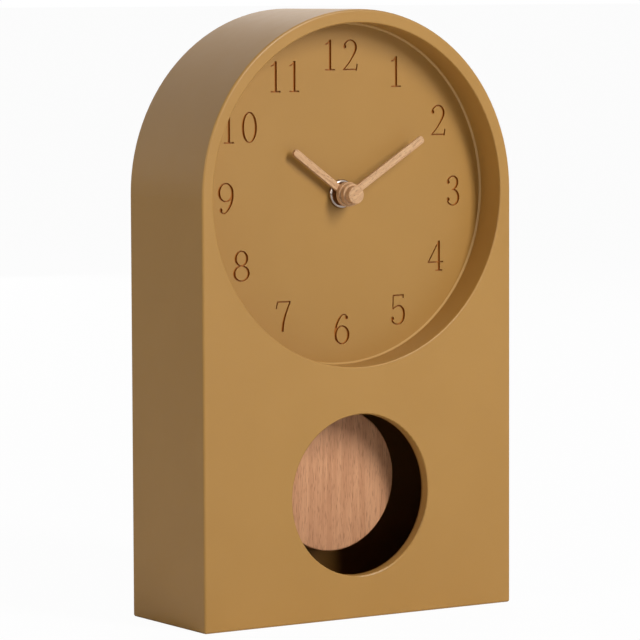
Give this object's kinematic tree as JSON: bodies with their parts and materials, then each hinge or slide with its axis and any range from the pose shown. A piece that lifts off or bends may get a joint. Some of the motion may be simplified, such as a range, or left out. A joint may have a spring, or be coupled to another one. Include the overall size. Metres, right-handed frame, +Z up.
{
  "type": "desk pendulum clock",
  "caption": "Arched free-standing clock with a deep round dial recess, cut numbers, straight wooden hands and a round wooden pendulum behind a round window.",
  "frame": {"origin": "middle of the flat base, on the surface the clock stands on", "axes": "+X to the viewer's right, the dial faces -Y, +Z up"},
  "size_m": [0.181, 0.0684, 0.3],
  "materials": {
    "case_paint": "satin ochre paint on case and rear panel",
    "dial_paint": "satin ochre paint, numbers cut in",
    "hand_wood": "pale oiled wood, straight grain",
    "bob_wood": "oiled wood, upright grain",
    "bright_metal": "bright plating",
    "brass": "turned brass",
    "steel": "zinc-plated and drawn steel",
    "black_plastic": "fine-textured black moulding",
    "gear_plastic": "natural white moulded wheels",
    "rubber": "soft black rubber",
    "board": "green circuit board",
    "cell_wrap": "plain wrapped cell with bright ends",
    "copper": "enamelled copper wire"
  },
  "bodies": {
    "case": {"case_shell": "case_paint", "dial_plate": "dial_paint", "dial_screws": "steel", "rear_panel": "case_paint", "rear_screws": "steel", "movement_front": "black_plastic", "movement_rear": "black_plastic", "rubber_washer": "rubber", "threaded_bushing": "brass", "dial_washer": "bright_metal", "ring_nut": "bright_metal", "motor_unit": "black_plastic", "circuit_board": "board", "quartz_crystal": "bright_metal", "chip_cap": "black_plastic", "battery": "cell_wrap", "positive_contact": "steel", "negative_contact": "steel", "coil_bobbin": "gear_plastic", "drive_coil": "copper", "pivot_pin": "steel", "pendulum_cover": "black_plastic", "cover_screws": "steel"},
    "minute": {"minute_hand": "hand_wood", "minute_bush": "brass", "minute_arbor": "brass", "centre_wheel": "gear_plastic"},
    "hour": {"hour_hand": "hand_wood", "hour_bush": "brass", "hour_wheel": "gear_plastic"},
    "intermediate": {"intermediate_wheel": "gear_plastic"},
    "setting": {"setting_arbor": "gear_plastic", "setting_knob": "black_plastic"},
    "motor_drive": {"motor_pinion": "steel"},
    "pendulum": {"pendulum_hanger": "gear_plastic", "hanger_magnet": "steel", "pendulum_rod": "steel", "pendulum_bob": "bob_wood"}
  },
  "joints": [
    {"name": "minute_turn", "type": "hinge", "parent": "case", "child": "minute", "pos_m": [0, 0, 0.209], "axis": [0, 1, 0], "continuous": true},
    {"name": "hour_turn", "type": "hinge", "parent": "case", "child": "hour", "pos_m": [0, 0, 0.209], "axis": [0, 1, 0], "continuous": true},
    {"name": "intermediate_turn", "type": "hinge", "parent": "case", "child": "intermediate", "pos_m": [0.006, 0, 0.21939], "axis": [0, 1, 0], "continuous": true},
    {"name": "setting_turn", "type": "hinge", "parent": "case", "child": "setting", "pos_m": [0.018, 0, 0.21939], "axis": [0, 1, 0], "continuous": true},
    {"name": "motor_turn", "type": "hinge", "parent": "case", "child": "motor_drive", "pos_m": [-0.0105, 0, 0.209], "axis": [0, 1, 0], "continuous": true},
    {"name": "pendulum_swing", "type": "hinge", "parent": "case", "child": "pendulum", "pos_m": [0, -0.00515, 0.17392], "axis": [0, 1, 0], "range_deg": [-7, 7]}
  ],
  "couplings": [
    {"joint": "hour_turn", "follows": "minute_turn", "ratio": 0.083333},
    {"joint": "intermediate_turn", "follows": "minute_turn", "ratio": -0.33333},
    {"joint": "setting_turn", "follows": "minute_turn", "ratio": 1},
    {"joint": "motor_turn", "follows": "minute_turn", "ratio": -6}
  ]
}
